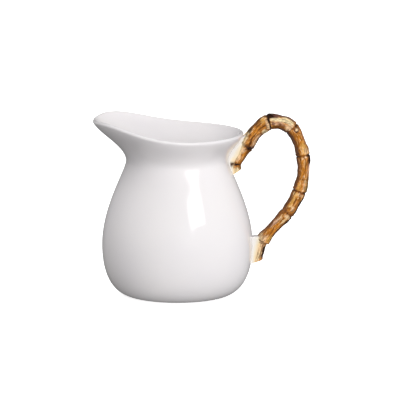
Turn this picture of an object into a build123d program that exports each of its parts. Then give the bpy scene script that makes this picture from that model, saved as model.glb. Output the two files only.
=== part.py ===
"""Porcelain cream jug with a handle cast in the form of a bent bamboo root.

Frame: millimetres, +Z up, origin at the centre of the foot ring on the table,
spout towards -X, handle towards +X, mirror plane Y = 0.
"""
from build123d import *
from math import atan2, cos, pi, sin, sqrt
import os

# ---------------------------------------------------------------- driving dimensions
BELLY_RADIUS = 49.0
BELLY_HEIGHT = 33.0
NECK_RADIUS = 33.3
NECK_HEIGHT = 88.0
THROAT_STEP = 0.03          # hairline step where the throat sits on the turned body
FOOT_RADIUS = 31.5
FOOT_RING_WIDTH = 3.4
FOOT_RECESS = 1.5
FOOT_RECESS_TAPER = 30      # lean of the recess wall, degrees
FOOT_CURVE_REACH = 7.3      # handles of the profile curves
FOOT_CURVE_RISE = 0.9
BELLY_CURVE_DOWN = 25.0
BELLY_CURVE_UP = 24.6
NECK_CURVE_DOWN = 6.1

BODY_WALL = 3.0
LIP_WALL = 2.5
FLOOR_HEIGHT = 5.0          # top of the jug's floor above the table
LIP_ROUND = 1.0

RIM_BACK_RADIUS = 42.9      # rim at the handle
RIM_SPOUT_RADIUS = 54.5     # rim at the tip of the spout
RIM_SPOUT_SHAPE = 1.1       # how fast the rim swells into the spout
RIM_SIDE_SWELL = 0.4
RIM_LOW_HEIGHT = 105.8      # lowest part of the rim
RIM_RISE = 10.5             # climb from the low part to the spout
RIM_RISE_START = 36.0
RIM_RISE_LENGTH = 90.0
RIM_RISE_SHAPE = 2.5
RIM_TIP_DROOP = 2.1
RIM_TIP_SHARPNESS = 20
RIM_BACK_RISE = 0.4
RIM_SAMPLES = 10            # points that carry the rim line from spout to handle

SPOUT_OVERRUN = 3.5         # how far the rim line runs on past the tip of the spout
SPOUT_OVERRUN_DROP = 1.6
BACK_OVERRUN = 8.0          # and past the rim at the handle
AIR_REACH = 75.0            # half size of the block of air above the rim
AIR_TOP = 140.0

CUT_REACH = 12.0            # size of the block that trims a cut end
NODE_GROOVE = 0.9           # width of the groove at each bamboo node
NODE_GROOVE_RADIUS = 0.88   # groove radius as a share of the smaller internode end

UPPER_PAD_WIDTH = 6.8
LOWER_PAD_WIDTH = 6.0
# Side outlines of the luting clay in X and Z before the wall and the handle trim them.
UPPER_PAD_OUTLINE = [
    (40.0, 104.5),
    (43.6, 106.2),
    (48.6, 106.2),
    (42.8, 97.0),
    (37.2, 86.2),
    (37.2, 79.8),
    (32.0, 79.8),
    (30.0, 90.0),
]
LOWER_PAD_OUTLINE = [
    (44.0, 37.8),
    (52.5, 37.8),
    (52.5, 33.0),
    (51.5, 21.8),
    (44.0, 20.0),
]


# ---------------------------------------------------------------- shape of the rim and flare
def rim_radius(angle):
    """Distance of the rim from the axis; angle 0 is the spout, pi is the handle."""
    toward_spout = (1 + cos(angle)) / 2
    swell = (RIM_SPOUT_RADIUS - RIM_BACK_RADIUS) * toward_spout**RIM_SPOUT_SHAPE
    return RIM_BACK_RADIUS + swell + RIM_SIDE_SWELL * sin(angle) ** 2


def rim_height(angle):
    """Height of the rim: low at the sides and back, rising to the spout."""
    x = -rim_radius(angle) * cos(angle)
    t = min(max((RIM_RISE_START - x) / RIM_RISE_LENGTH, 0), 1)
    rise = RIM_RISE * (t * t * (3 - 2 * t)) ** RIM_RISE_SHAPE
    droop = RIM_TIP_DROOP * ((1 + cos(angle)) / 2) ** RIM_TIP_SHARPNESS
    back = RIM_BACK_RISE * (max(x, 0) / RIM_BACK_RADIUS) ** 4
    return RIM_LOW_HEIGHT + rise - droop + back


def flare(u):
    """Share of the neck-to-rim widening reached at share u of the height."""
    return 1.80 * u**2 - 0.29 * u**3 - 0.51 * u**4


def flare_slope(u):
    return 3.60 * u - 0.87 * u**2 - 2.04 * u**3


def throat_radius(angle, z, wall):
    """Radius of the flared throat at height z, drawn in by a wall thickness."""
    height = rim_height(angle) - NECK_HEIGHT
    widening = rim_radius(angle) - NECK_RADIUS
    u = (z - NECK_HEIGHT) / height
    if u > 1:
        outer = NECK_RADIUS + THROAT_STEP + widening * (1 + flare_slope(1) * (u - 1))
        slope = widening * flare_slope(1) / height
    else:
        outer = NECK_RADIUS + THROAT_STEP + widening * flare(u)
        slope = widening * flare_slope(u) / height
    return outer - wall * sqrt(1 + slope**2)


THROAT_HEIGHTS = [NECK_HEIGHT + step for step in (0, 3, 7, 11, 15, 19, 23, 27, 31)]
SECTION_POINTS = 24


def throat_outline(z, wall):
    """Closed outline of the throat at height z."""
    turn = [2 * pi * i / SECTION_POINTS for i in range(SECTION_POINTS)]
    points = []
    for angle in turn:
        r = throat_radius(angle, z, wall)
        points.append((-r * cos(angle), r * sin(angle)))
    return points


def throat_wall(z):
    """Wall thickness, thinning from the body wall at the neck to the lip wall."""
    share = min((z - NECK_HEIGHT) / (RIM_LOW_HEIGHT - NECK_HEIGHT), 1)
    return BODY_WALL + (LIP_WALL - BODY_WALL) * share


# ---------------------------------------------------------------- profile of the belly
def lower_belly(inset, floor):
    """Handles of the curve from the foot up to the widest point, drawn in by inset."""
    foot = FOOT_RADIUS - inset
    belly = BELLY_RADIUS - inset
    return [
        (foot, floor),
        (foot + FOOT_CURVE_REACH, floor + FOOT_CURVE_RISE * (1 - floor / BELLY_HEIGHT)),
        (belly, BELLY_HEIGHT - BELLY_CURVE_DOWN * (1 - floor / BELLY_HEIGHT)),
        (belly, BELLY_HEIGHT),
    ]


def upper_belly(inset):
    """Handles of the curve from the widest point up to the neck, drawn in by inset."""
    belly = BELLY_RADIUS - inset
    neck = NECK_RADIUS - inset
    return [
        (belly, BELLY_HEIGHT),
        (belly, BELLY_HEIGHT + BELLY_CURVE_UP),
        (neck, NECK_HEIGHT - NECK_CURVE_DOWN),
        (neck, NECK_HEIGHT),
    ]


# ---------------------------------------------------------------- helper solid: outside of the jug
with BuildPart() as jug_envelope:
    # pot-bellied lower body, turned about the axis
    with BuildSketch(Plane.XZ):
        with BuildLine():
            Bezier(*lower_belly(0, 0))
            Bezier(*upper_belly(0))
            Polyline((NECK_RADIUS, NECK_HEIGHT), (0, NECK_HEIGHT), (0, 0), (FOOT_RADIUS, 0))
        make_face()
    revolve(axis=Axis.Z)
    # throat that opens from the round neck into the rim and the spout
    for z in THROAT_HEIGHTS:
        with BuildSketch(Plane.XY.offset(z)):
            with BuildLine():
                Spline(*throat_outline(z, 0), periodic=True)
            make_face()
    loft()

# ---------------------------------------------------------------- helper solid: air above the rim
rim_curve = [(-RIM_SPOUT_RADIUS - SPOUT_OVERRUN, rim_height(0) - SPOUT_OVERRUN_DROP)]
for i in range(RIM_SAMPLES + 1):
    angle = pi * i / RIM_SAMPLES
    rim_curve.append((-rim_radius(angle) * cos(angle), rim_height(angle)))
rim_curve.append((RIM_BACK_RADIUS + BACK_OVERRUN, rim_height(pi) + RIM_BACK_RISE))

with BuildPart() as above_rim:
    with BuildSketch(Plane.XZ):
        with BuildLine():
            Spline(*rim_curve)
            Polyline(
                rim_curve[-1],
                (AIR_REACH, rim_curve[-1][1]),
                (AIR_REACH, AIR_TOP),
                (-AIR_REACH, AIR_TOP),
                (-AIR_REACH, rim_curve[0][1]),
                rim_curve[0],
            )
        make_face()
    extrude(amount=AIR_REACH, both=True)

# ---------------------------------------------------------------- helper solid: inside of the jug
with BuildPart() as jug_hollow:
    with BuildSketch(Plane.XZ):
        with BuildLine():
            Bezier(*lower_belly(BODY_WALL, FLOOR_HEIGHT))
            Bezier(*upper_belly(BODY_WALL))
            Polyline(
                (NECK_RADIUS - BODY_WALL, NECK_HEIGHT),
                (0, NECK_HEIGHT),
                (0, FLOOR_HEIGHT),
                (FOOT_RADIUS - BODY_WALL, FLOOR_HEIGHT),
            )
        make_face()
    revolve(axis=Axis.Z)
    for z in THROAT_HEIGHTS:
        with BuildSketch(Plane.XY.offset(z)):
            with BuildLine():
                Spline(*throat_outline(z, throat_wall(z)), periodic=True)
            make_face()
    loft()

# ---------------------------------------------------------------- jug body: one slip-cast porcelain shell
with BuildPart() as jug_body:
    add(jug_envelope.part)
    add(jug_hollow.part, mode=Mode.SUBTRACT)
    add(above_rim.part, mode=Mode.SUBTRACT)
    # shallow recess that leaves a ring to stand on
    with BuildSketch(Plane.XY):
        Circle(FOOT_RADIUS - FOOT_RING_WIDTH)
    extrude(amount=FOOT_RECESS, taper=FOOT_RECESS_TAPER, mode=Mode.SUBTRACT)
    # rounded lip, all the way round on both sides
    long_edges = jug_body.edges().filter_by(lambda e: e.length > NECK_RADIUS)
    lip_edges = long_edges.filter_by(lambda e: e.center().Z > RIM_LOW_HEIGHT)
    fillet(lip_edges, LIP_ROUND)
jug_body.part.label = "jug_body"


# ---------------------------------------------------------------- bamboo handle
# One row per bamboo node, from the upper cut end to the lower one: x, z and the
# radii of the internode ends just before and just after the node.
HANDLE_NODES = [
    (38.6, 79.0, 3.0, 3.0),
    (38.3, 85.6, 3.1, 3.2),
    (44.9, 97.3, 4.1, 4.7),
    (59.5, 113.0, 5.0, 5.1),
    (74.1, 109.0, 4.6, 4.6),
    (81.5, 91.1, 4.4, 4.5),
    (79.2, 67.7, 4.5, 4.4),
    (71.3, 53.2, 4.3, 4.3),
    (55.2, 34.3, 4.4, 3.4),
    (51.9, 20.0, 3.2, 3.2),
]
# Outward bow and waist radius of the internode after each node.
INTERNODES = [
    (0.0, 2.9),
    (0.0, 3.4),
    (1.7, 4.4),
    (1.9, 4.6),
    (1.0, 4.0),
    (1.3, 3.9),
    (0.5, 4.1),
    (-0.5, 3.8),
    (0.0, 3.1),
]
UPPER_CUT = Plane(origin=(38.5, 0, 80.4), x_dir=(0, 1, 0), z_dir=(0.55, 0, -0.84))
LOWER_CUT = Plane(origin=(52.0, 0, 21.5), x_dir=(0, 1, 0), z_dir=(0.30, 0, -0.95))


def chord_angle(i):
    """Direction of travel of internode i in the XZ plane."""
    x0, z0 = HANDLE_NODES[i][:2]
    x1, z1 = HANDLE_NODES[i + 1][:2]
    return atan2(z1 - z0, x1 - x0)


def chord_length(i):
    x0, z0 = HANDLE_NODES[i][:2]
    x1, z1 = HANDLE_NODES[i + 1][:2]
    return sqrt((x1 - x0) ** 2 + (z1 - z0) ** 2)


def bend_angle(i):
    """Turn between an internode's chord and its ends, from its bow."""
    return atan2(4 * INTERNODES[i][0], chord_length(i))


def node_angle(i):
    """Direction of travel through node i."""
    if i == 0:
        return chord_angle(0) + bend_angle(0)
    if i == len(INTERNODES):
        return chord_angle(i - 1) - bend_angle(i - 1)
    before = chord_angle(i - 1) - bend_angle(i - 1)
    after = chord_angle(i) + bend_angle(i)
    turn = (after - before + pi) % (2 * pi) - pi
    return before + turn / 2


def across(x, z, angle, along=0.0):
    """Plane square to the handle at x, z, moved along the direction of travel."""
    direction = (cos(angle), 0, sin(angle))
    origin = (x + along * direction[0], 0, z + along * direction[2])
    return Plane(origin=origin, x_dir=(0, 1, 0), z_dir=direction)


with BuildPart() as bamboo_handle:
    for i, (bow, waist) in enumerate(INTERNODES):
        x0, z0, _, start_radius = HANDLE_NODES[i]
        x1, z1, end_radius, _ = HANDLE_NODES[i + 1]
        angle = chord_angle(i)
        middle = ((x0 + x1) / 2 - bow * sin(angle), (z0 + z1) / 2 + bow * cos(angle))
        with BuildSketch(across(x0, z0, node_angle(i), NODE_GROOVE / 2)):
            Circle(start_radius)
        with BuildSketch(across(*middle, angle)):
            Circle(waist)
        with BuildSketch(across(x1, z1, node_angle(i + 1), -NODE_GROOVE / 2)):
            Circle(end_radius)
        loft()
    # narrow groove at every node
    for i in range(1, len(INTERNODES)):
        x, z, before, after = HANDLE_NODES[i]
        with BuildSketch(across(x, z, node_angle(i), -NODE_GROOVE / 2)):
            Circle(min(before, after) * NODE_GROOVE_RADIUS)
        extrude(amount=NODE_GROOVE)
    # slanted cut ends
    for cut in (UPPER_CUT, LOWER_CUT):
        with BuildSketch(cut):
            Rectangle(CUT_REACH, CUT_REACH)
        extrude(amount=CUT_REACH, mode=Mode.SUBTRACT)
    # the handle is pressed against the jug and never enters it
    add(jug_envelope.part - above_rim.part, mode=Mode.SUBTRACT)
bamboo_handle.part.label = "bamboo_handle"

# ---------------------------------------------------------------- luting pads between handle and wall
with BuildPart() as upper_luting_pad:
    with BuildSketch(Plane.XZ):
        with BuildLine():
            Polyline(*UPPER_PAD_OUTLINE, close=True)
        make_face()
    extrude(amount=UPPER_PAD_WIDTH / 2, both=True)
    add(jug_envelope.part - above_rim.part, mode=Mode.SUBTRACT)
    add(bamboo_handle.part, mode=Mode.SUBTRACT)
upper_luting_pad.part.label = "upper_luting_pad"

with BuildPart() as lower_luting_pad:
    with BuildSketch(Plane.XZ):
        with BuildLine():
            Polyline(*LOWER_PAD_OUTLINE, close=True)
        make_face()
    extrude(amount=LOWER_PAD_WIDTH / 2, both=True)
    add(jug_envelope.part - above_rim.part, mode=Mode.SUBTRACT)
    add(bamboo_handle.part, mode=Mode.SUBTRACT)
lower_luting_pad.part.label = "lower_luting_pad"

# ---------------------------------------------------------------- one file per piece
os.makedirs("parts", exist_ok=True)
export_step(jug_body.part, "parts/jug_body.step")
export_step(bamboo_handle.part, "parts/bamboo_handle.step")
export_step(upper_luting_pad.part, "parts/upper_luting_pad.step")
export_step(lower_luting_pad.part, "parts/lower_luting_pad.step")
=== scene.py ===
"""Porcelain cream jug with a ceramic handle in the form of bent bamboo.

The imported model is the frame. The shell, the handle and the luting clay are built
again here as smooth meshes in the place of the CAD solids, with painted and glazed
materials. The jug's lengths are millimetres, turned into metres by MM. The camera and
the lights are placed in metres.
"""
from math import atan2, cos, exp, hypot, pi, radians, sin
import bpy
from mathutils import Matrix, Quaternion, Vector, noise


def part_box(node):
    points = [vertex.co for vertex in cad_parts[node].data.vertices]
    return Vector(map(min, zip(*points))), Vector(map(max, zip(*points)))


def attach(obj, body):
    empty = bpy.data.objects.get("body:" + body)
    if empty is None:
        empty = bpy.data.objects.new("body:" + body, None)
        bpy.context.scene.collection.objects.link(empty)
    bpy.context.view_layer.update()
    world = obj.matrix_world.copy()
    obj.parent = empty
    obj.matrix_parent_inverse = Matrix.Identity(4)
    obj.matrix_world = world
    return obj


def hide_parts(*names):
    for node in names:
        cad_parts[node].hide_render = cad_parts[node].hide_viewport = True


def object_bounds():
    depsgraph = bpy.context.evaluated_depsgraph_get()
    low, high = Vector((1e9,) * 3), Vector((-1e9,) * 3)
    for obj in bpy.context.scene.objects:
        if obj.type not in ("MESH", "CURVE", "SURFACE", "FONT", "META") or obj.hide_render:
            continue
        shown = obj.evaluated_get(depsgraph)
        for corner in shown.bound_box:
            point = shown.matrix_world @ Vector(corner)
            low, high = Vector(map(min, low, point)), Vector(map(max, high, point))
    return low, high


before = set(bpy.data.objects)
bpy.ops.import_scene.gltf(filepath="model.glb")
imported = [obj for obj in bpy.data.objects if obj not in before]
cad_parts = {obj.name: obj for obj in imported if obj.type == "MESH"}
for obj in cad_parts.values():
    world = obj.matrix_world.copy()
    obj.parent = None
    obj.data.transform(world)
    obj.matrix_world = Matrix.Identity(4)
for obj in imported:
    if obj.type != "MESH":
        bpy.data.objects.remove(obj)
cad_low, cad_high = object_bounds()

MM = 0.001
_, jug_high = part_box("jug_body")

# ---------------------------------------------------------------- sizes
BELLY_RADIUS = jug_high.y / MM
BELLY_HEIGHT = 33.0
NECK_RADIUS = 33.3
NECK_HEIGHT = 88.0
FOOT_RADIUS = 31.5
FOOT_RING_WIDTH = 3.4
FOOT_RECESS = 1.5
FLOOR_HEIGHT = 5.0
FOOT_REACH = 7.3            # handles of the belly's profile curves
FOOT_RISE = 0.9
BELLY_DOWN = 25.0
BELLY_UP = 24.6
NECK_DOWN = 6.1

BODY_WALL = 3.0
LIP_WALL = 2.5
LIP_RISE = LIP_WALL * 0.45  # height of the rounded lip above the wall

RIM_BACK_RADIUS = 42.9
RIM_SPOUT_RADIUS = 54.5
RIM_SPOUT_SHAPE = 1.1
RIM_SIDE_SWELL = 0.4
RIM_LOW_HEIGHT = 105.8
RIM_RISE = 10.5
RIM_RISE_START = 36.0
RIM_RISE_LENGTH = 90.0
RIM_RISE_SHAPE = 2.5
RIM_TIP_DROOP = 2.1
RIM_TIP_SHARPNESS = 20
RIM_BACK_RISE = 0.4
FLARE = (1.80, -0.29, -0.51)  # the throat's widening in powers 2, 3 and 4 of the height

# Underside of the foot, as distance from the ring's inner edge and height, then the
# same from its outer edge.
RING_INNER_EDGE = [(-4.0, FOOT_RECESS), (-1.4, FOOT_RECESS), (-0.5, 0.9), (0.0, 0.3), (0.4, 0.0)]
RING_OUTER_EDGE = [(-1.0, 0.0), (-0.3, 0.02)]
BARE_HEIGHT = 0.2           # the ring is unglazed up to here

SHELL_AROUND = 192          # points round the shell
BELLY_STEPS = 24            # points up its parts
SHOULDER_STEPS = 30
THROAT_STEPS = 24
LIP_STEPS = 12
FLOOR_STEPS = 10
FLOOR_MARGIN = 0.6          # the inside wall ends this far above the floor
FLOOR_CORNER_SHARPNESS = 6

# Airbrushed cream on the wall beside the two ends of the handle: height of the
# middle, half width and half height.
BLUSH_MARKS = [(95, 5.5, 11), (29, 5.0, 9)]
BLUSH_STRENGTH = 0.25
BLUSH_FROM_X = 20
BLUSH_TOP = 104             # higher up, the wall's radius is taken as at this height
BLUSH_DEPTH = 1.2           # points further in than this are on the wall's inside


# ---------------------------------------------------------------- mesh helpers
def facing_out(verts, faces):
    """The faces of a closed surface, all turned round if they face inwards."""
    volume = 0.0
    for face in faces:
        corner = Vector(verts[face[0]])
        for k in range(1, len(face) - 1):
            volume += corner.dot(Vector(verts[face[k]]).cross(Vector(verts[face[k + 1]])))
    return [face[::-1] for face in faces] if volume < 0 else faces


def make_object(name, verts, faces, material, smooth=True):
    """Mesh object in metres from vertices in millimetres."""
    mesh = bpy.data.meshes.new(name)
    mesh.from_pydata([Vector(v) * MM for v in verts], [], facing_out(verts, faces))
    mesh.update()
    if smooth:
        mesh.polygons.foreach_set("use_smooth", [True] * len(mesh.polygons))
    mesh.materials.append(material)
    obj = bpy.data.objects.new(name, mesh)
    bpy.context.scene.collection.objects.link(obj)
    return obj


def ring_faces(rings, around, first_cap, last_cap):
    """Quads between closed rings of the same size, and fans to the two cap vertices."""
    faces = []
    for j in range(rings - 1):
        for i in range(around):
            k = (i + 1) % around
            here, there = j * around, (j + 1) * around
            faces.append((here + i, here + k, there + k, there + i))
    last = (rings - 1) * around
    for i in range(around):
        k = (i + 1) % around
        faces.append((first_cap, k, i))
        faces.append((last_cap, last + i, last + k))
    return faces


def bezier(p0, p1, p2, p3, steps):
    """Points of a cubic curve, without its first point."""
    points = []
    for n in range(1, steps + 1):
        t = n / steps
        a, b, c, d = (1 - t) ** 3, 3 * (1 - t) ** 2 * t, 3 * (1 - t) * t * t, t**3
        points.append(tuple(a * p0[k] + b * p1[k] + c * p2[k] + d * p3[k] for k in (0, 1)))
    return points


def smooth_step(t):
    """Eased share: 0 up to t = 0, 1 from t = 1."""
    t = min(max(t, 0.0), 1.0)
    return t * t * (3 - 2 * t)


def bell(distance, width):
    """Smooth bump that is 1 at distance 0."""
    return exp(-((distance / width) ** 2))


# ---------------------------------------------------------------- jug shell
def rim_radius(angle):
    """Distance of the rim from the axis; angle 0 is the spout, pi is the handle."""
    toward_spout = (1 + cos(angle)) / 2
    swell = (RIM_SPOUT_RADIUS - RIM_BACK_RADIUS) * toward_spout**RIM_SPOUT_SHAPE
    return RIM_BACK_RADIUS + swell + RIM_SIDE_SWELL * sin(angle) ** 2


def rim_height(angle):
    """Height of the rim, which rises towards the spout and droops at its tip."""
    x = -rim_radius(angle) * cos(angle)
    t = (RIM_RISE_START - x) / RIM_RISE_LENGTH
    rise = RIM_RISE * smooth_step(t) ** RIM_RISE_SHAPE
    droop = RIM_TIP_DROOP * ((1 + cos(angle)) / 2) ** RIM_TIP_SHARPNESS
    back = RIM_BACK_RISE * (max(x, 0) / RIM_BACK_RADIUS) ** 4
    return RIM_LOW_HEIGHT + rise - droop + back


def flare(u):
    """Share of the neck-to-rim widening reached at share u of the height."""
    return FLARE[0] * u**2 + FLARE[1] * u**3 + FLARE[2] * u**4


def outer_profile(angle):
    """Outside of the wall at one angle, from the foot to the lip, as (radius, height)."""
    points = [(FOOT_RADIUS, 0.0)]
    points += bezier(
        (FOOT_RADIUS, 0),
        (FOOT_RADIUS + FOOT_REACH, FOOT_RISE),
        (BELLY_RADIUS, BELLY_HEIGHT - BELLY_DOWN),
        (BELLY_RADIUS, BELLY_HEIGHT),
        BELLY_STEPS,
    )
    points += bezier(
        (BELLY_RADIUS, BELLY_HEIGHT),
        (BELLY_RADIUS, BELLY_HEIGHT + BELLY_UP),
        (NECK_RADIUS, NECK_HEIGHT - NECK_DOWN),
        (NECK_RADIUS, NECK_HEIGHT),
        SHOULDER_STEPS,
    )
    top = rim_height(angle) - LIP_RISE
    widening = rim_radius(angle) - NECK_RADIUS
    for n in range(1, THROAT_STEPS + 1):
        u = n / THROAT_STEPS
        points.append((NECK_RADIUS + widening * flare(u), NECK_HEIGHT + (top - NECK_HEIGHT) * u))
    return points


BACK_PROFILE = outer_profile(pi)


def wall_radius(z):
    """Outside radius of the shell on the handle's side at height z."""
    for (r0, z0), (r1, z1) in zip(BACK_PROFILE, BACK_PROFILE[1:]):
        if z0 <= z <= z1:
            return r0 + (r1 - r0) * (z - z0) / max(z1 - z0, 1e-6)
    return BACK_PROFILE[-1][0]


def inward_normals(points):
    """Unit vector at each point, pointing into the wall."""
    normals = []
    for n in range(len(points)):
        a = points[max(n - 1, 0)]
        b = points[min(n + 1, len(points) - 1)]
        dx, dz = b[0] - a[0], b[1] - a[1]
        size = hypot(dx, dz)
        normals.append((-dz / size, dx / size))
    return normals


def shell_profile(angle):
    """Section of the shell at one angle, from under the base over the lip to the inside."""
    outer = outer_profile(angle)
    normals = inward_normals(outer)
    ring_inner = FOOT_RADIUS - FOOT_RING_WIDTH
    section = [(ring_inner + r, z) for r, z in RING_INNER_EDGE]
    section += [(FOOT_RADIUS + r, z) for r, z in RING_OUTER_EDGE]
    section += outer
    # rounded lip
    end = outer[-1]
    n = normals[-1]
    up = (n[1], -n[0])
    for k in range(1, LIP_STEPS):
        a = pi * k / LIP_STEPS
        reach = LIP_WALL / 2 * (1 - cos(a))
        rise = LIP_RISE * sin(a)
        section.append((end[0] + n[0] * reach + up[0] * rise, end[1] + n[1] * reach + up[1] * rise))
    # inside wall
    for k in range(len(outer) - 1, 0, -1):
        r, z = outer[k]
        share = min(max((z - NECK_HEIGHT) / (RIM_LOW_HEIGHT - NECK_HEIGHT), 0), 1)
        wall = BODY_WALL + (LIP_WALL - BODY_WALL) * share
        inner_r = r + normals[k][0] * wall
        inner_z = z + normals[k][1] * wall
        if inner_z < FLOOR_HEIGHT + FLOOR_MARGIN:
            break
        section.append((inner_r, inner_z))
    return section


def shell_blush(x, y, z):
    """Strength of the airbrushed cream at a point of the shell."""
    if x < BLUSH_FROM_X:
        return 0.0
    if hypot(x, y) <= wall_radius(min(z, BLUSH_TOP)) - BLUSH_DEPTH:
        return 0.0
    return BLUSH_STRENGTH * max(bell(y, w) * bell(z - middle, h) for middle, w, h in BLUSH_MARKS)


def floor_blend(r, z, share):
    """Rounds the inside down from the wall at r, z to the flat floor; share goes 0 to 1."""
    lift = (1 - share) ** FLOOR_CORNER_SHARPNESS
    return r * (1 - share), FLOOR_HEIGHT + (z - FLOOR_HEIGHT) * lift


def build_shell(material):
    """Body of the jug, as one closed surface with its marks of cream and bare clay."""
    angles = [-pi + 2 * pi * i / SHELL_AROUND for i in range(SHELL_AROUND)]
    sections = [shell_profile(angle) for angle in angles]
    count = min(len(s) for s in sections)  # the inside ends at the same point all round
    sections = [s[:count] for s in sections]
    for section in sections:
        wall_end = section[-1]
        section += [floor_blend(*wall_end, k / FLOOR_STEPS) for k in range(1, FLOOR_STEPS)]
    rings = count + FLOOR_STEPS - 1
    verts = []
    for j in range(rings):
        for angle, section in zip(angles, sections):
            r, z = section[j]
            verts.append((-r * cos(angle), r * sin(angle), z))
    first_cap = len(verts)
    verts.append((0, 0, FOOT_RECESS))
    verts.append((0, 0, FLOOR_HEIGHT))
    faces = ring_faces(rings, SHELL_AROUND, first_cap, first_cap + 1)
    shell = make_object("glazed_shell", verts, faces, material)
    blush = shell.data.attributes.new("blush", "FLOAT", "POINT")
    blush.data.foreach_set("value", [shell_blush(*v) for v in verts])
    bare = shell.data.attributes.new("bare", "FLOAT", "POINT")
    bare.data.foreach_set("value", [1.0 if z < BARE_HEIGHT else 0.0 for x, y, z in verts])
    return shell


# ---------------------------------------------------------------- bamboo handle
# One row per bamboo node, from the upper cut end to the lower one: x, z and the
# radii of the internode ends just before and just after the node.
HANDLE_NODES = [
    (38.6, 79.0, 3.0, 3.0),
    (38.3, 85.6, 3.1, 3.2),
    (44.9, 97.3, 4.1, 4.7),
    (59.5, 113.0, 5.0, 5.1),
    (74.1, 109.0, 4.6, 4.6),
    (81.5, 91.1, 4.4, 4.5),
    (79.2, 67.7, 4.5, 4.4),
    (71.3, 53.2, 4.3, 4.3),
    (55.2, 34.3, 4.4, 3.4),
    (51.4, 20.0, 3.2, 3.2),
]
# Outward bow and waist radius of the internode after each node.
INTERNODES = [
    (0.0, 2.9),
    (0.0, 3.4),
    (2.0, 4.6),
    (1.9, 4.6),
    (1.0, 4.0),
    (1.3, 3.9),
    (0.5, 4.1),
    (-0.5, 3.8),
    (0.0, 3.1),
]
UPPER_CUT = (Vector((38.5, 0, 80.4)), Vector((0.55, 0, -0.84)).normalized())
LOWER_CUT = (Vector((52.0, 0, 21.5)), Vector((0.30, 0, -0.95)).normalized())
NODE_SWELL_SHARE = 0.20     # an internode swells towards its nodes over this share of
NODE_SWELL_EXTRA = 0.6      # its length and this much more
CREST_NODE = 3              # the axis lifts a little just past this node
CREST_RISE = 0.15
CREST_REACH = 2.5
RING_SPACING = 0.36
HANDLE_AROUND = 64
HANDLE_RADIUS = 4.0         # typical radius, for distances round the handle
GRAIN_UNIT = 10             # length of handle that is 1 in the grain's coordinates
# Hollowed cut ends, from the middle outwards: inset as a share of the radius, depth.
END_RINGS = [(0.80, 0.5), (0.45, 0.45), (0.16, 0.15), (0.05, 0.02)]


def chord(i):
    """Length and direction of travel of internode i."""
    x0, z0 = HANDLE_NODES[i][:2]
    x1, z1 = HANDLE_NODES[i + 1][:2]
    return hypot(x1 - x0, z1 - z0), atan2(z1 - z0, x1 - x0)


def bend(i):
    """Angle between the chord of internode i and its bowed axis at either end."""
    length, _ = chord(i)
    return atan2(4 * INTERNODES[i][0], length)


def node_direction(i):
    """Direction of travel through node i."""
    last = len(INTERNODES)
    if i == 0:
        return chord(0)[1] + bend(0)
    before = chord(i - 1)[1] - bend(i - 1)
    if i == last:
        return before
    after = chord(i)[1] + bend(i)
    turn = (after - before + pi) % (2 * pi) - pi
    return before + turn / 2


def heading(angle):
    """Unit vector in the handle's plane."""
    return Vector((cos(angle), 0, sin(angle)))


def hermite(p0, m0, p1, m1, t):
    """Point and direction on a cubic between two points with their tangents."""
    point = (
        p0 * (2 * t**3 - 3 * t**2 + 1)
        + m0 * (t**3 - 2 * t**2 + t)
        + p1 * (3 * t**2 - 2 * t**3)
        + m1 * (t**3 - t**2)
    )
    way = (
        p0 * (6 * t**2 - 6 * t)
        + m0 * (3 * t**2 - 4 * t + 1)
        + p1 * (6 * t - 6 * t**2)
        + m1 * (3 * t**2 - 2 * t)
    )
    return point, way.normalized()


def centreline(i, t):
    """Point and direction of the handle's axis at share t of internode i."""
    length, angle = chord(i)
    p0 = Vector((HANDLE_NODES[i][0], 0, HANDLE_NODES[i][1]))
    p1 = Vector((HANDLE_NODES[i + 1][0], 0, HANDLE_NODES[i + 1][1]))
    outward = Vector((-sin(angle), 0, cos(angle)))
    middle = (p0 + p1) / 2 + outward * INTERNODES[i][0]
    half = length / 2
    along_chord = heading(angle) * half
    if t < 0.5:
        return hermite(p0, heading(node_direction(i)) * half, middle, along_chord, 2 * t)
    return hermite(middle, along_chord, p1, heading(node_direction(i + 1)) * half, 2 * t - 1)


def internode_radius(i, t):
    """Plain radius: a waist that swells towards both nodes."""
    length, _ = chord(i)
    start, waist, end = HANDLE_NODES[i][3], INTERNODES[i][1], HANDLE_NODES[i + 1][2]
    swell = NODE_SWELL_SHARE * length + NODE_SWELL_EXTRA
    at_start = (start - waist) * bell(t * length, swell)
    at_end = (end - waist) * bell((1 - t) * length, swell)
    return waist + at_start + at_end


# Relief shapes: height, distance of the middle from the node, half length.
NODE_GROOVE = (-0.45, 0.0, 0.42)
RIDGE_PAST_NODE = (0.15, 1.0, 0.5)
RIDGE_BEFORE_NODE = (0.26, 1.1, 0.6)
SWELL_PAST_NODE = (0.26, 3.8, 2.4)
SWELL_BEFORE_NODE = (0.36, 4.2, 2.4)
SWOLLEN_INTERNODES = range(2, 8)
BUD_DOME = (0.40, 0.0, 0.75)
BUD_RING = (-0.22, 1.25, 0.35)

# Long flutes: internode, distance along it, half length, degrees round as for the buds.
FLUTES = [(2, 5.5, 3.6, 106), (2, 16.5, 3.4, 93)]
FLUTE_DEPTH = 0.40
FLUTE_HALF_WIDTH = 0.45

# Unevenness of the casting: height, rate of change round the handle and along it,
# an offset that keeps the layers apart, and whether it dies out at the nodes.
UNEVENNESS = [
    (0.24, 1.3, 0.13, 0, False),
    (0.26, 3.0, 0.27, 40, False),
    (0.14, 6.0, 0.40, 80, True),
]
CALM_REACH = 2              # distance from a node over which a layer dies out
NOISE_STEP = 31.7           # moves the noise on from one internode to the next

# Small leaf-bud scars: node, distance past it, degrees round from the outside of the
# bend (positive on the -Y side), size.
BUDS = [
    (2, 2.0, -115, 1.2),
    (3, 1.8, 60, 1.0),
    (4, 2.0, 62, 1.5),
    (5, 1.2, -70, 1.4),
    (6, 1.9, 70, 1.0),
    (7, 1.6, -100, 1.3),
]

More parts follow.
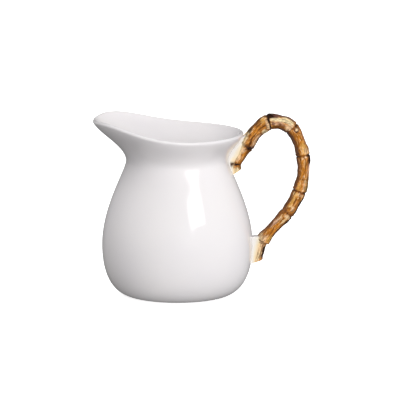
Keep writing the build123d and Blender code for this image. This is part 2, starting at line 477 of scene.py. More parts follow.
GLAZE = {
    "dark": (0.014, 0.005, 0.004),
    "umber": (0.135, 0.045, 0.008),
    "plum": (0.13, 0.060, 0.052),
    "olive": (0.26, 0.18, 0.06),
    "rust": (0.27, 0.085, 0.014),
    "orange": (0.64, 0.23, 0.022),
    "gold": (0.84, 0.46, 0.11),
    "blush": (0.94, 0.63, 0.36),
    "rose": (0.74, 0.44, 0.30),
    "cream": (0.96, 0.79, 0.46),
}
AMBER = (0.66, 0.245, 0.036)
# Browns that are partly paint and partly painted shade along the inside and the outside of the
# bend.
INNER_BROWN_AND_SHADE = (0.29, 0.098, 0.014)
OUTER_BROWN_AND_SHADE = (0.37, 0.165, 0.048)
INNER_SHADE_WASH = (0.15, 0.65)   # where the brown and its painted shade start towards the inside, its soft edge
OUTER_SHADE_WASH = (0.45, 0.55)   # and towards the outside
BRUSH_RATES = (1.6, 0.22)   # rate of the brush's unsteadiness round and along the handle
SHAKE = 1.6                 # unsteadiness along the handle
SHAKE_RATE = 1.7
SHAKE_SHARE = 0.35          # a stroke shakes by this share of its half length
SHAKE_MOST = 0.8            # and by no more than this
SWAY = 0.45                 # unsteadiness sideways
SWAY_RATE = 2.3
SWAY_MOST = 0.5
STROKE_CORE = 0.60          # a stroke is solid inside this share of its size
STROKE_FADE = 0.80          # and fades out over this much more
FAINTEST = 0.003            # weaker paint is left out
# Brush strokes in the order they are laid: node, distance past it, side, half length,
# half width as a share of the radius, strength, colour. Side runs from 1 on the outside
# of the bend to -1 on the inside, the same on the front and the back of the handle.
# Dark, umber and plum strokes at sides near 1 and -1 are partly paint and partly painted
# shade along the handle's edges.
STROKES = [
    (0, 1.5, 0.3, 2.4, 0.9, 0.85, "cream"),
    (0, 3.0, -0.8, 2.0, 0.3, 0.6, "olive"),
    (1, 6.0, 0.80, 7.5, 0.55, 0.95, "cream"),
    (1, 7.5, 0.0, 3.4, 0.40, 0.50, "orange"),
    (1, 4.4, 0.20, 2.6, 0.38, 0.70, "blush"),
    (1, 10.4, 0.18, 1.9, 0.38, 0.85, "blush"),
    (1, 6.5, -1.0, 5.0, 0.34, 0.85, "umber"),
    (1, 0.4, -0.2, 1.2, 0.6, 0.6, "umber"),
    (1, -0.1, -0.4, 0.9, 0.8, 1.0, "dark"),
    (2, 0.5, 0.1, 1.2, 0.8, 0.75, "umber"),
    (2, -0.1, -0.50, 1.6, 0.50, 1.0, "dark"),
    (2, 1.6, -0.70, 1.0, 0.3, 0.85, "plum"),
    (2, 3.0, 0.75, 3.6, 0.42, 0.8, "cream"),
    (2, 7.0, 0.85, 4.0, 0.3, 0.75, "cream"),
    (2, 4.0, 0.30, 2.5, 0.25, 0.6, "orange"),
    (2, 12.0, 0.15, 4.0, 0.35, 0.85, "orange"),
    (2, 6.5, -0.62, 5.0, 0.22, 0.65, "blush"),
    (2, 9.0, -0.98, 8.0, 0.22, 0.9, "plum"),
    (2, 14.0, 0.95, 6.5, 0.26, 0.8, "umber"),
    (2, 9.5, 0.78, 2.0, 0.2, 0.8, "dark"),
    (2, 16.0, 0.48, 3.2, 0.12, 0.8, "umber"),
    (2, 3.2, -0.22, 2.6, 0.13, 1.0, "umber"),
    (2, 7.2, -0.08, 3.2, 0.10, 0.95, "umber"),
    (2, 16.0, -0.02, 3.4, 0.11, 0.95, "umber"),
    (2, 15.5, -0.72, 2.2, 0.3, 0.80, "cream"),
    (2, 19.0, 0.60, 1.5, 0.3, 0.6, "gold"),
    (2, 20.0, -0.35, 1.5, 0.5, 0.85, "blush"),
    (3, -1.2, 0.1, 0.7, 0.7, 0.75, "blush"),
    (3, 4.8, 0.98, 2.8, 0.24, 0.9, "plum"),
    (3, 10.0, 0.98, 4.2, 0.16, 0.75, "plum"),
    (3, 6.2, -0.16, 4.6, 0.26, 0.80, "rose"),
    (3, 2.4, -0.15, 1.2, 0.3, 0.7, "plum"),
    (3, 5.5, -0.60, 4.0, 0.2, 0.6, "umber"),
    (3, 9.5, -0.25, 3.2, 0.2, 0.8, "rust"),
    (3, 13.4, 0.05, 2.4, 0.6, 0.85, "blush"),
    # These two cream strokes on the top of internode 3 are partly cream paint and partly a painted
    # highlight.
    (3, 5.8, 0.40, 5.2, 0.25, 1.0, "cream"),
    (3, 10.5, 0.58, 3.2, 0.24, 0.95, "cream"),
    (3, 11.0, -0.92, 6.5, 0.36, 0.95, "umber"),
    (3, 13.0, -1.0, 5.0, 0.26, 0.9, "dark"),
    (3, 0.0, -0.60, 0.8, 0.45, 1.0, "dark"),
    (3, 0.15, 0.30, 0.75, 0.55, 1.0, "dark"),
    (3, 2.6, 0.72, 2.2, 0.30, 0.75, "plum"),
    (3, 1.5, 0.90, 2.1, 0.38, 1.0, "dark"),
    (4, 4.5, -0.85, 7.0, 0.44, 0.95, "umber"),
    (4, 3.0, -1.0, 5.0, 0.32, 0.95, "dark"),
    (4, 9.0, 0.08, 5.2, 0.44, 0.95, "orange"),
    (4, 8.0, -0.25, 7.5, 0.34, 0.60, "rust"),
    (4, 10.0, -0.68, 10.0, 0.34, 0.70, "umber"),
    (4, 14.6, 0.38, 3.2, 0.42, 0.8, "gold"),
    (4, 16.6, 0.60, 1.8, 0.3, 0.65, "blush"),
    (4, 8.0, 0.98, 8.5, 0.16, 0.6, "rust"),
    (4, 15.0, -0.95, 4.5, 0.28, 0.9, "umber"),
    (4, 0.0, 0.0, 0.28, 0.8, 0.75, "umber"),
    (4, 0.2, 0.80, 0.6, 0.25, 0.9, "dark"),
    (4, 1.9, 0.42, 1.7, 0.36, 0.95, "plum"),
    (4, 3.4, 0.30, 0.5, 0.22, 0.85, "dark"),
    (4, 1.9, 0.45, 0.8, 0.17, 1.0, "blush"),
    (5, 4.0, 0.95, 4.5, 0.28, 0.95, "plum"),
    (5, 9.0, 0.92, 4.0, 0.24, 0.80, "rose"),
    (5, 17.0, 0.98, 5.0, 0.18, 0.7, "umber"),
    (5, 8.0, -0.1, 7.0, 0.40, 0.80, "orange"),
    (5, 10.0, -0.98, 12.5, 0.30, 0.9, "umber"),
    (5, 6.0, 0.28, 4.5, 0.10, 0.75, "umber"),
    (5, 4.0, -0.45, 3.5, 0.09, 0.55, "umber"),
    (5, 15.2, 0.0, 0.5, 1.0, 0.55, "umber"),
    (5, 13.2, 0.12, 0.7, 0.16, 0.95, "blush"),
    (5, 16.2, 0.42, 0.9, 0.16, 0.85, "cream"),
    (5, 19.2, 0.80, 3.5, 0.2, 0.7, "olive"),
    (5, 19.2, 0.40, 3.0, 0.13, 0.95, "blush"),
    (5, 20.0, -0.30, 2.5, 0.2, 0.7, "gold"),
    (5, -0.2, -0.1, 0.7, 1.2, 0.55, "umber"),
    (5, -0.2, 0.95, 1.2, 0.36, 1.0, "dark"),
    (5, 0.0, -0.90, 0.8, 0.3, 0.9, "dark"),
    (5, 2.6, 0.86, 2.2, 0.22, 0.9, "dark"),
    (5, 0.8, 0.38, 0.6, 0.18, 1.0, "blush"),
    (5, 1.4, 0.0, 0.5, 0.14, 0.85, "blush"),
    (6, 8.0, -0.35, 4.0, 0.25, 0.75, "gold"),
    (6, 9.0, 0.90, 6.0, 0.24, 0.90, "umber"),
    (6, 10.0, -0.95, 7.0, 0.26, 0.9, "umber"),
    (6, 5.5, 0.96, 2.6, 0.26, 1.0, "dark"),
    (6, 13.2, 0.96, 2.2, 0.24, 0.9, "dark"),
    (6, 1.7, 0.35, 1.0, 0.38, 0.65, "blush"),
    (6, 2.4, -0.40, 1.3, 0.32, 0.55, "gold"),
    (6, 4.0, 0.30, 2.6, 0.10, 0.75, "umber"),
    (6, 7.5, 0.02, 3.2, 0.11, 0.75, "umber"),
    (6, 12.0, 0.22, 1.7, 0.2, 0.9, "blush"),
    (6, 0.0, 0.0, 1.0, 1.3, 0.85, "rust"),
    (6, 0.0, 0.0, 0.4, 1.3, 0.6, "umber"),
    (6, -0.1, 0.92, 0.9, 0.3, 1.0, "dark"),
    (6, 0.0, -0.90, 0.7, 0.3, 0.8, "dark"),
    (7, -1.0, 0.0, 1.0, 1.3, 0.85, "rust"),
    (7, 0.0, 0.0, 0.30, 1.3, 0.45, "umber"),
    (7, 12.0, 0.95, 9.5, 0.40, 0.95, "umber"),
    (7, 10.0, -1.0, 13.0, 0.16, 0.70, "umber"),
    (7, 3.0, 0.96, 4.0, 0.36, 1.0, "dark"),
    (7, 1.4, 0.25, 1.1, 0.45, 0.85, "blush"),
    (7, 5.2, 0.38, 3.6, 0.12, 0.75, "cream"),
    (7, 5.5, 0.02, 3.6, 0.12, 0.85, "umber"),
    (7, 6.5, -0.32, 3.2, 0.14, 0.65, "blush"),
    (7, 9.5, -0.50, 3.8, 0.25, 0.75, "rose"),
    (7, 14.0, 0.15, 7.5, 0.42, 1.0, "orange"),
    (7, 13.0, 0.02, 2.2, 0.14, 0.85, "rust"),
    (7, 17.5, 0.20, 2.4, 0.12, 0.75, "rust"),
    (7, 20.2, 0.58, 3.0, 0.28, 0.85, "gold"),
    (7, 21.6, 0.0, 2.6, 0.3, 0.8, "blush"),
    (8, 6.0, -0.2, 9.0, 0.75, 1.0, "blush"),
    (8, 6.0, -0.75, 9.0, 0.5, 0.8, "cream"),
    (8, 11.0, 0.0, 4.0, 0.4, 0.6, "cream"),
    (8, 6.5, 0.25, 6.0, 0.12, 0.85, "rust"),
    (8, 9.0, -0.28, 4.0, 0.08, 0.65, "rust"),
    (8, 11.0, 0.86, 2.0, 0.30, 0.9, "umber"),
    (8, 6.8, 0.84, 4.8, 0.44, 1.0, "dark"),
    (8, -0.6, 0.0, 0.24, 1.0, 0.85, "umber"),
    (8, 0.6, -0.1, 0.24, 0.9, 0.75, "umber"),
]


def arc_gap(a, b):
    """Distance round the handle between two directions in degrees."""
    return abs((a - b + 180) % 360 - 180) * pi / 180 * HANDLE_RADIUS


def raised(shape, distance):
    """Height of a relief shape at a distance from its node or centre."""
    height, middle, half_length = shape
    return height * bell(distance - middle, half_length)


def blob(place, scale=1.0):
    """Smooth noise, the same on every run."""
    return noise.noise(Vector(place) * scale)


def past_node(node, i, t):
    """Distance past a node at share t of internode i, or None if it isn't at its end."""
    length, _ = chord(i)
    if node == i:
        return t * length
    if node == i + 1:
        return (t - 1) * length
    return None


def handle_relief(i, t, turn):
    """Height added to the plain radius by grooves, scars, buds and fluting."""
    length, _ = chord(i)
    from_start, to_end = t * length, (1 - t) * length
    height = 0.0
    if i > 0:
        height += raised(NODE_GROOVE, from_start) + raised(RIDGE_PAST_NODE, from_start)
    if i < len(INTERNODES) - 1:
        height += raised(NODE_GROOVE, to_end) + raised(RIDGE_BEFORE_NODE, to_end)
    if i in SWOLLEN_INTERNODES:
        height += raised(SWELL_PAST_NODE, from_start) + raised(SWELL_BEFORE_NODE, to_end)
    degrees_round = turn * 180 / pi
    for node, past, where, size in BUDS:
        along = past_node(node, i, t)
        if along is not None:
            spread = hypot(along - past, arc_gap(degrees_round, where)) / size
            height += raised(BUD_DOME, spread) + raised(BUD_RING, spread)
    for internode, past, half_length, where in FLUTES:
        if internode == i:
            across = bell(arc_gap(degrees_round, where), FLUTE_HALF_WIDTH)
            height -= FLUTE_DEPTH * bell(from_start - past, half_length) * across
    travel = i * NOISE_STEP + t * length
    fade = smooth_step(from_start / CALM_REACH) * smooth_step(to_end / CALM_REACH)
    for amount, round_rate, along_rate, offset, fades in UNEVENNESS:
        place = (cos(turn) * round_rate, sin(turn) * round_rate, travel * along_rate + offset)
        height += amount * (fade if fades else 1) * blob(place)
    return height


def blend_colours(a, b, share):
    """Colour at a share of the way from a to b."""
    return tuple(p + (q - p) * share for p, q in zip(a, b))


def handle_paint(i, t, turn):
    """Glaze colour at a point of the handle, stroke over stroke, over amber that darkens with
    painted shade towards the edges of the bend.
    """
    length, _ = chord(i)
    side = cos(turn)
    travel = i * NOISE_STEP + t * length
    round_rate, along_rate = BRUSH_RATES
    place = (side * round_rate, sin(turn) * round_rate, travel * along_rate)
    shake = SHAKE * blob(place, SHAKE_RATE)
    sway = SWAY * blob(place, SWAY_RATE)
    # Painted shade, partly brown paint: darker towards the inside and the outside of the bend.
    start, width = INNER_SHADE_WASH
    colour = blend_colours(AMBER, INNER_BROWN_AND_SHADE, smooth_step((-side - start + sway) / width))
    start, width = OUTER_SHADE_WASH
    colour = blend_colours(colour, OUTER_BROWN_AND_SHADE, smooth_step((side - start + sway) / width))
    for node, past, where, half_length, half_width, amount, name in STROKES:
        along = past_node(node, i, t)
        if along is None:
            continue
        along += shake * min(half_length * SHAKE_SHARE, SHAKE_MOST) - past
        gap = abs(side + sway * min(half_width, SWAY_MOST) - where)
        edge = hypot(along / half_length, gap / half_width)
        share = amount * (1 - smooth_step((edge - STROKE_CORE) / STROKE_FADE))
        if share > FAINTEST:
            colour = blend_colours(colour, GLAZE[name], share)
    return colour


def handle_point(i, t, turn):
    """Point of the surface; turn 0 is the outside of the bend, 90 degrees the -Y side."""
    centre, way = centreline(i, t)
    outward = Vector((-way.z, 0, way.x))
    side = Vector((0, -1, 0))
    length, _ = chord(i)
    if i == CREST_NODE:
        centre = centre + outward * CREST_RISE * bell(t * length, CREST_REACH)
    radius = internode_radius(i, t) + handle_relief(i, t, turn)
    return centre + (outward * cos(turn) + side * sin(turn)) * radius


def step_to_cut(point, way, cut):
    """Step along way that brings a point onto the plane of a cut."""
    origin, normal = cut
    return way * ((origin - point).dot(normal) / way.dot(normal))


def cut_shift(i, turn):
    """How far the end of a cut internode moves along the handle to lie on its cut."""
    t, cut = (0.0, UPPER_CUT) if i == 0 else (1.0, LOWER_CUT)
    _, way = centreline(i, t)
    return step_to_cut(handle_point(i, t, turn), way, cut)


def build_handle(material):
    """The cast handle from cut end to cut end, with its painting on the mesh."""
    last = len(INTERNODES) - 1
    verts, grain, paint = [], [], []
    turns = [2 * pi * k / HANDLE_AROUND for k in range(HANDLE_AROUND)]
    shifts = {0: [cut_shift(0, a) for a in turns], last: [cut_shift(last, a) for a in turns]}
    travel = 0.0
    rings = 0

    def add_ring(i, t, inset=0.0, dish=0.0):
        nonlocal rings
        centre, way = centreline(i, t)
        for k, turn in enumerate(turns):
            point = handle_point(i, t, turn)
            if i in shifts:
                point = point + shifts[i][k] * ((1 - t) if i == 0 else t)
            if inset:
                heart = centre + sum(shifts[i], Vector()) / HANDLE_AROUND
                inner = heart + (point - heart) * (1 - inset)
                point = inner + way * dish * (1 if i == 0 else -1)
            verts.append(point)
            grain.append((cos(turn), sin(turn), (travel + t * chord(i)[0]) / GRAIN_UNIT))
            paint.append(handle_paint(i, t, turn))
        rings += 1

    for inset, dish in END_RINGS:
        add_ring(0, 0.0, inset, dish)
    for i in range(len(INTERNODES)):
        length, _ = chord(i)
        steps = int(length / RING_SPACING)
        for n in range(steps):
            add_ring(i, n / steps)
        if i < last:
            travel += length
    add_ring(last, 1.0)
    for inset, dish in reversed(END_RINGS):
        add_ring(last, 1.0, inset, dish)

    first_heart = sum(verts[:HANDLE_AROUND], Vector()) / HANDLE_AROUND
    last_heart = sum(verts[-HANDLE_AROUND:], Vector()) / HANDLE_AROUND
    first_cap = len(verts)
    for heart in (first_heart, last_heart):
        verts.append(heart)
        grain.append((0, 0, 0))
        paint.append(GLAZE["cream"])
    faces = ring_faces(rings, HANDLE_AROUND, first_cap, first_cap + 1)
    handle = make_object("cast_bamboo", verts, faces, material)
    attribute = handle.data.attributes.new("grain", "FLOAT_VECTOR", "POINT")
    attribute.data.foreach_set("vector", [c for v in grain for c in v])
    attribute = handle.data.attributes.new("brushwork", "FLOAT_COLOR", "POINT")
    attribute.data.foreach_set("color", [c for v in paint for c in (*v, 1)])
    return handle


# ---------------------------------------------------------------- luting clay
WALL_SEARCH = 14.0          # the wall is looked for this far from the handle's axis
WALL_HALVINGS = 22
PAD_FLANK = 10              # steps down each flank of a pad
PAD_SINK = 0.25             # how deep a pad starts inside the handle
PAD_BITE = 0.15             # how deep its edge ends inside the wall
PAD_ROOT = 0.7              # how much deeper its middle ends there
PAD_ROOT_WIDTH = 0.7        # width there, as a share of the edge's width
PAD_CORE = (0.3, 0.5)       # start inside the handle, as shares of its radius and the width
PAD_SHOULDER = 1.1          # width of the flank's bend, as a share of the width at the top
PAD_END_THIN = 0.15         # thickness left at the ends, in slices
PAD_END_BLUSH = 0.6
TWIG_SLANT = 1.1            # the brush mark runs on by this much towards the wall
TWIG_HALF_WIDTH = 0.65
TWIG_START = (0.45, 0.25)   # where it starts between wall and handle, and its soft edge


def reach_wall(start, way, y):
    """Distance from start along way, at side offset y, to the shell's outside."""
    low, high = 0.0, WALL_SEARCH
    for _ in range(WALL_HALVINGS):
        middle = (low + high) / 2
        x, z = start.x + way.x * middle, start.z + way.z * middle
        if hypot(x, y) > wall_radius(z):
            low = middle
        else:
            high = middle
    return low


def twig_paint(i, t, near_handle, twig):
    """Strength of the dark brush mark; near_handle is 1 at the handle, 0 at the wall."""
    node, past = twig
    along = past_node(node, i, t)
    if along is None:
        return 0.0
    start, fade = TWIG_START
    slant = along - past + TWIG_SLANT * (1 - near_handle)
    return bell(slant, TWIG_HALF_WIDTH) * smooth_step((near_handle - start) / fade)


def build_pad(name, material, stations, wall_side, radius, grip, spread, taper, twig=None):
    """Clay between the handle and the wall, in slices square to the handle.

    stations are (internode, share) pairs, wall_side is "outer" where the wall lies on
    the outside of the handle's bend and "level" where the slices run level to it, grip
    is the half angle that the clay covers on the handle, spread is how much wider it is
    at the wall, and taper is the number of slices over which each end thins out. twig
    is the (node, distance past it) of a dark brush mark on the clay.
    """
    verts, blush, dark = [], [], []
    last = len(INTERNODES) - 1
    for j, (i, t) in enumerate(stations):
        centre, way = centreline(i, t)
        to_wall = Vector((-way.z, 0, way.x)) if wall_side == "outer" else Vector((-1, 0, 0))
        from_first = (j + PAD_END_THIN) / taper[0]
        from_last = (len(stations) - 1 + PAD_END_THIN - j) / taper[1]
        thin = min(from_first, from_last, 1.0) ** 0.5
        side = radius * sin(grip) * thin
        near = radius * cos(grip) - PAD_SINK
        wall_in = reach_wall(centre, to_wall, side * PAD_SHOULDER)
        wall_out = reach_wall(centre, to_wall, side + spread * thin)
        a = (near, side)
        b = (near + (wall_in - near) * thin, side * PAD_SHOULDER)
        c = (near + (wall_out + PAD_BITE - near) * thin, side + spread * thin)
        flank = []
        for k in range(PAD_FLANK + 1):
            u = k / PAD_FLANK
            d = (1 - u) ** 2 * a[0] + 2 * u * (1 - u) * b[0] + u**2 * c[0]
            y = (1 - u) ** 2 * a[1] + 2 * u * (1 - u) * b[1] + u**2 * c[1]
            flank.append((d, y, 1 - u))
        ring = [(PAD_CORE[0] * radius, PAD_CORE[1] * side, 1.0)] + flank
        ring += [(c[0] + PAD_ROOT * thin, c[1] * PAD_ROOT_WIDTH, 0.0)]
        ring = [(d, -y, h) for d, y, h in ring] + [(d, y, h) for d, y, h in reversed(ring)]
        for d, y, h in ring:
            point = centre + to_wall * d + Vector((0, y, 0))
            if i == last:
                point = point + step_to_cut(point, way, LOWER_CUT) * t**2
            if i == 0:
                point = point + step_to_cut(point, way, UPPER_CUT) * (1 - t)
            verts.append(point)
            blush.append(h)
            dark.append(twig_paint(i, t, h, twig) if twig else 0.0)
    around = 2 * (PAD_FLANK + 3)
    first = len(verts)
    for start in (0, first - around):
        verts.append(sum((Vector(v) for v in verts[start:start + around]), Vector()) / around)
        blush.append(PAD_END_BLUSH)
        dark.append(0.0)
    faces = ring_faces(len(stations), around, first, first + 1)
    pad = make_object(name, verts, faces, material)
    attribute = pad.data.attributes.new("blush", "FLOAT", "POINT")
    attribute.data.foreach_set("value", blush)
    attribute = pad.data.attributes.new("twig", "FLOAT", "POINT")
    attribute.data.foreach_set("value", dark)
    return pad


def stations_between(first, last, spacing):
    """(internode, share) pairs at even steps along the handle."""
    found = []
    i, t = first
    while (i, t) < last:
        found.append((i, t))
        t += spacing / chord(i)[0]
        if t >= 1:
            i, t = i + 1, 0.0
    found.append(last)
    return found


# ---------------------------------------------------------------- materials
def new_material(name):
    """A material with its nodes and links."""
    material = bpy.data.materials.new(name)
    material.use_nodes = True
    return material, material.node_tree.nodes, material.node_tree.links


class Graph:
    """Small helpers that add nodes to one material."""

    def __init__(self, name):
        self.material, self.nodes, self.links = new_material(name)
        self.shader = self.nodes["Principled BSDF"]

    def join(self, source, target):
        self.links.new(source, target)

    def attribute(self, name, output="Fac"):
        node = self.nodes.new("ShaderNodeAttribute")
        node.attribute_name = name
        return node.outputs[output]

    def position(self):
        return self.nodes.new("ShaderNodeTexCoord").outputs["Object"]

    def stretch(self, vector, scale):
        node = self.nodes.new("ShaderNodeMapping")
        node.inputs["Scale"].default_value = scale
        self.join(vector, node.inputs["Vector"])
        return node.outputs["Vector"]

    def noise(self, vector, scale, detail=4.0, roughness=0.55, distortion=0.0):
        node = self.nodes.new("ShaderNodeTexNoise")
        node.inputs["Scale"].default_value = scale
        node.inputs["Detail"].default_value = detail
        node.inputs["Roughness"].default_value = roughness
        node.inputs["Distortion"].default_value = distortion
        self.join(vector, node.inputs["Vector"])
        return node.outputs["Fac"]

    def remap(self, value, low, high, new_low=0.0, new_high=1.0):
        node = self.nodes.new("ShaderNodeMapRange")
        node.inputs["From Min"].default_value = low
        node.inputs["From Max"].default_value = high
        node.inputs["To Min"].default_value = new_low
        node.inputs["To Max"].default_value = new_high
        self.join(value, node.inputs["Value"])
        return node.outputs["Result"]

    def math(self, operation, a, b):
        node = self.nodes.new("ShaderNodeMath")
        node.operation = operation
        for socket, value in zip(node.inputs, (a, b)):
            if isinstance(value, (int, float)):
                socket.default_value = value
            else:
                self.join(value, socket)
        return node.outputs["Value"]

    def ramp(self, value, stops):
        node = self.nodes.new("ShaderNodeValToRGB")
        elements = node.color_ramp.elements
        while len(elements) < len(stops):
            elements.new(0.5)
        for element, (place, colour) in zip(elements, stops):
            element.position = place
            element.color = (*colour, 1)
        self.join(value, node.inputs["Fac"])
        return node.outputs["Color"]

    def mix(self, factor, a, b):
        node = self.nodes.new("ShaderNodeMix")
        node.data_type = "RGBA"
        self.join(factor, node.inputs["Factor"])
        for socket, value in zip((node.inputs[6], node.inputs[7]), (a, b)):
            if isinstance(value, tuple):
                socket.default_value = (*value, 1)
            else:
                self.join(value, socket)
        return node.outputs[2]

    def bump(self, height, strength, distance):
        node = self.nodes.new("ShaderNodeBump")
        node.inputs["Strength"].default_value = strength
        node.inputs["Distance"].default_value = distance
        self.join(height, node.inputs["Height"])
        self.join(node.outputs["Normal"], self.shader.inputs["Normal"])


WHITE = (0.87, 0.84, 0.843)
WHITE_COOL = (0.85, 0.822, 0.836)
CREAM = (0.90, 0.78, 0.50)
BISCUIT = (0.74, 0.70, 0.62)
DEEP_BROWN = (0.085, 0.030, 0.008)
# Pale colour of the painted highlight specks on the handle's glaze.
PAINTED_GLINT = (0.93, 0.72, 0.40)
PALE_CREAM = (0.87, 0.83, 0.77)
CLAY_CREAM = (0.88, 0.76, 0.54)
CLAY_GOLD = (0.88, 0.68, 0.42)
TWIG_BROWN = (0.06, 0.020, 0.008)


def porcelain_material():
    """White glaze with faint clouds, cream beside the handle and a bare foot ring."""
    g = Graph("white_glaze")
    place = g.position()
    cloud = g.noise(place, scale=22, detail=3)
    colour = g.mix(g.remap(cloud, 0.35, 0.65), WHITE, WHITE_COOL)
    colour = g.mix(g.attribute("blush"), colour, CREAM)
    colour = g.mix(g.attribute("bare"), colour, BISCUIT)
    g.join(colour, g.shader.inputs["Base Color"])
    film = g.noise(place, scale=60, detail=2)
    gloss = g.remap(film, 0.3, 0.7, 0.07, 0.13)
    bare = g.math("MULTIPLY", g.attribute("bare"), 0.5)
    g.join(g.math("ADD", gloss, bare), g.shader.inputs["Roughness"])
    g.shader.inputs["IOR"].default_value = 1.52
    wave = g.noise(place, scale=35, detail=1)
    g.bump(wave, strength=0.25, distance=0.0006)
    return g.material


def bamboo_material():
    """The painted brushwork, broken up by brown hairs and pale specks of painted highlight, under a
    clear coat.
    """
    g = Graph("bamboo_glaze")
    grain = g.attribute("grain", "Vector")
    wide_grain = g.stretch(grain, (2.6, 2.6, 2.0))
    streak = g.noise(wide_grain, scale=1.0, detail=3, roughness=0.6, distortion=0.4)
    narrow_grain = g.stretch(grain, (6.2, 6.2, 3.6))
    fine = g.noise(narrow_grain, scale=1.0, detail=3, roughness=0.6, distortion=0.3)
    colour = g.attribute("brushwork", "Color")
    colour = g.mix(g.remap(streak, 0.50, 0.30, 0.0, 0.70), colour, DEEP_BROWN)
    colour = g.mix(g.remap(fine, 0.49, 0.32, 0.0, 0.80), colour, DEEP_BROWN)
    # Painted highlight: pale specks where the fine and wide streaks are both high, only on light
    # paint.
    painted_glint = g.math("MULTIPLY", g.remap(fine, 0.53, 0.66), g.remap(streak, 0.40, 0.58))
    light_paint = g.remap(g.attribute("brushwork"), 0.10, 0.28, 0.0, 0.90)
    colour = g.mix(g.math("MULTIPLY", painted_glint, light_paint), colour, PAINTED_GLINT)
    g.join(colour, g.shader.inputs["Base Color"])
    g.join(g.remap(fine, 0.3, 0.7, 0.24, 0.40), g.shader.inputs["Roughness"])
    g.shader.inputs["IOR"].default_value = 1.12
    g.shader.inputs["Coat Weight"].default_value = 0.36
    g.shader.inputs["Coat Roughness"].default_value = 0.10
    g.shader.inputs["Coat IOR"].default_value = 1.7
    relief = g.math("ADD", streak, g.math("MULTIPLY", fine, 0.8))
    g.bump(relief, strength=0.6, distance=0.0006)
    return g.material


def luting_material():
    """White clay that turns cream towards the handle, with the brush mark."""
    g = Graph("luting_glaze")
    place = g.position()
    cloud = g.noise(place, scale=120, detail=3)
    edge = g.math("ADD", g.attribute("blush"), g.remap(cloud, 0.3, 0.7, -0.12, 0.12))
    stops = [(0.0, WHITE), (0.60, PALE_CREAM), (0.88, CLAY_CREAM), (1.0, CLAY_GOLD)]
    colour = g.ramp(edge, stops)
    colour = g.mix(g.attribute("twig"), colour, TWIG_BROWN)
    g.join(colour, g.shader.inputs["Base Color"])
    g.join(g.remap(cloud, 0.3, 0.7, 0.08, 0.16), g.shader.inputs["Roughness"])
    g.bump(cloud, strength=0.15, distance=0.0003)
    return g.material


# ---------------------------------------------------------------- stage, light and camera
ROOM_LIGHT = 0.30
MIRRORED_ROOM_LIGHT = 0.11
VIEW_ELEVATION = radians(9.8)
VIEW_DISTANCE = 2.34
VIEW_WIDTH = 0.26           # width of the view at the jug
AIM_SHIFT = Vector((-0.0013, 0, 0.0027))
SENSOR = 36.0
CLIP_END = 50
LIGHT_TARGET = Vector((0.01, 0, 0.06))
SOFTBOX_DISTANCE = 1.6
# Softboxes: name, azimuth, elevation, width and height, power.
SOFTBOXES = [
    ("key", 20, 11, (1.1, 0.70), 15.5),
    ("left_fill", -72, 6, (1.1, 1.1), 3.2),
    ("right_fill", 100, 15, (1.1, 1.1), 4.5),
    ("right_back", 140, 15, (1.1, 1.1), 8.5),
    ("left_back", -120, 50, (1.1, 1.1), 12),
    ("back_fill", -165, 12, (1.1, 0.7), 6),
]
FLOOR_REACH = 6000
FLOOR_GREY = (0.8, 0.8, 0.8, 1)
FLOOR_ROUGHNESS = 0.9
FLOOR_GLOW = 0.72


def make_camera():
    """Camera in front of the jug, a little above it, with a long lens."""
    aim = (cad_low + cad_high) / 2 + AIM_SHIFT
    back = Vector((0, -cos(VIEW_ELEVATION), sin(VIEW_ELEVATION)))
    data = bpy.data.cameras.new("camera")
    data.sensor_width = SENSOR
    data.lens = SENSOR * VIEW_DISTANCE / VIEW_WIDTH
    data.clip_end = CLIP_END
    camera = bpy.data.objects.new("camera", data)
    camera.location = aim + back * VIEW_DISTANCE
    camera.rotation_euler = (-back).to_track_quat("-Z", "Y").to_euler()
    bpy.context.scene.collection.objects.link(camera)
    bpy.context.scene.camera = camera


def make_light(name, azimuth, elevation, distance, size, power, mirrored=False, roll=0):
    """Soft rectangular light. Azimuth 0 is the camera's side, 90 is the handle's side."""
    a, e = radians(azimuth), radians(elevation)
    back = Vector((sin(a) * cos(e), -cos(a) * cos(e), sin(e)))
    data = bpy.data.lights.new(name, "AREA")
    data.shape = "RECTANGLE"
    data.size, data.size_y = size
    data.energy = power
    light = bpy.data.objects.new(name, data)
    light.location = LIGHT_TARGET + back * distance
    turned = (-back).to_track_quat("-Z", "Y") @ Quaternion((0, 0, 1), radians(roll))
    light.rotation_euler = turned.to_euler()
    light.visible_camera = False
    light.visible_glossy = mirrored
    bpy.context.scene.collection.objects.link(light)


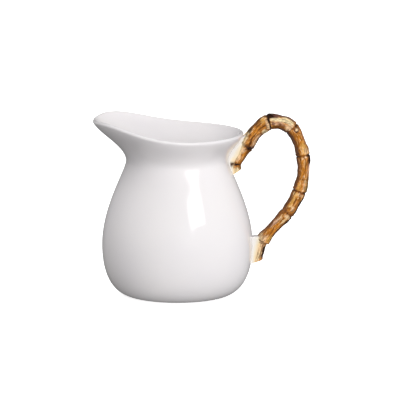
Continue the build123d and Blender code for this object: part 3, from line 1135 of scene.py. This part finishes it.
def make_stage():
    """White room, dimmer in reflections, and a plain pale floor."""
    world = bpy.data.worlds.new("studio")
    world.use_nodes = True
    background = world.node_tree.nodes["Background"]
    background.inputs["Color"].default_value = (1, 1, 1, 1)
    path = world.node_tree.nodes.new("ShaderNodeLightPath")
    light = world.node_tree.nodes.new("ShaderNodeMapRange")
    light.inputs["To Min"].default_value = ROOM_LIGHT
    light.inputs["To Max"].default_value = MIRRORED_ROOM_LIGHT
    world.node_tree.links.new(path.outputs["Is Glossy Ray"], light.inputs["Value"])
    strength = world.node_tree.nodes.new("ShaderNodeMapRange")
    strength.inputs["To Max"].default_value = 1.0
    world.node_tree.links.new(path.outputs["Is Camera Ray"], strength.inputs["Value"])
    world.node_tree.links.new(light.outputs["Result"], strength.inputs["To Min"])
    world.node_tree.links.new(strength.outputs["Result"], background.inputs["Strength"])
    bpy.context.scene.world = world
    material, nodes, _ = new_material("pale_floor")
    shader = nodes["Principled BSDF"]
    shader.inputs["Base Color"].default_value = FLOOR_GREY
    shader.inputs["Roughness"].default_value = FLOOR_ROUGHNESS
    shader.inputs["Emission Color"].default_value = (1, 1, 1, 1)
    shader.inputs["Emission Strength"].default_value = FLOOR_GLOW
    signs = ((-1, -1), (1, -1), (1, 1), (-1, 1))
    corners = [(x * FLOOR_REACH, y * FLOOR_REACH, 0) for x, y in signs]
    floor = make_object("floor", corners, [(0, 1, 2, 3)], material, smooth=False)
    floor.visible_diffuse = False
    floor.visible_glossy = False


make_camera()
make_stage()
make_light(
    "window_box",
    azimuth=33.0,
    elevation=26,
    distance=1.0,
    size=(0.46, 0.33),
    power=2.1,
    mirrored=True,
    roll=8,
)
for name, azimuth, elevation, size, power in SOFTBOXES:
    make_light(name, azimuth, elevation, SOFTBOX_DISTANCE, size, power)

shell = build_shell(porcelain_material())
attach(shell, "root")
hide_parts("jug_body")

handle = build_handle(bamboo_material())
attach(handle, "root")
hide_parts("bamboo_handle")

clay = luting_material()
upper_pad = build_pad(
    "upper_luting",
    clay,
    stations_between((0, 0.0), (2, 0.34), spacing=0.3),
    wall_side="outer",
    radius=3.5,
    grip=radians(52),
    spread=2.2,
    taper=(1, 20),
    twig=(1, 0.1),
)
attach(upper_pad, "root")
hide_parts("upper_luting_pad")

lower_pad = build_pad(
    "lower_luting",
    clay,
    stations_between((7, 0.80), (8, 1.0), spacing=0.5),
    wall_side="level",
    radius=3.4,
    grip=radians(62),
    spread=1.4,
    taper=(2, 1),
)
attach(lower_pad, "root")
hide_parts("lower_luting_pad")

bpy.context.scene.view_settings.view_transform = "Standard"
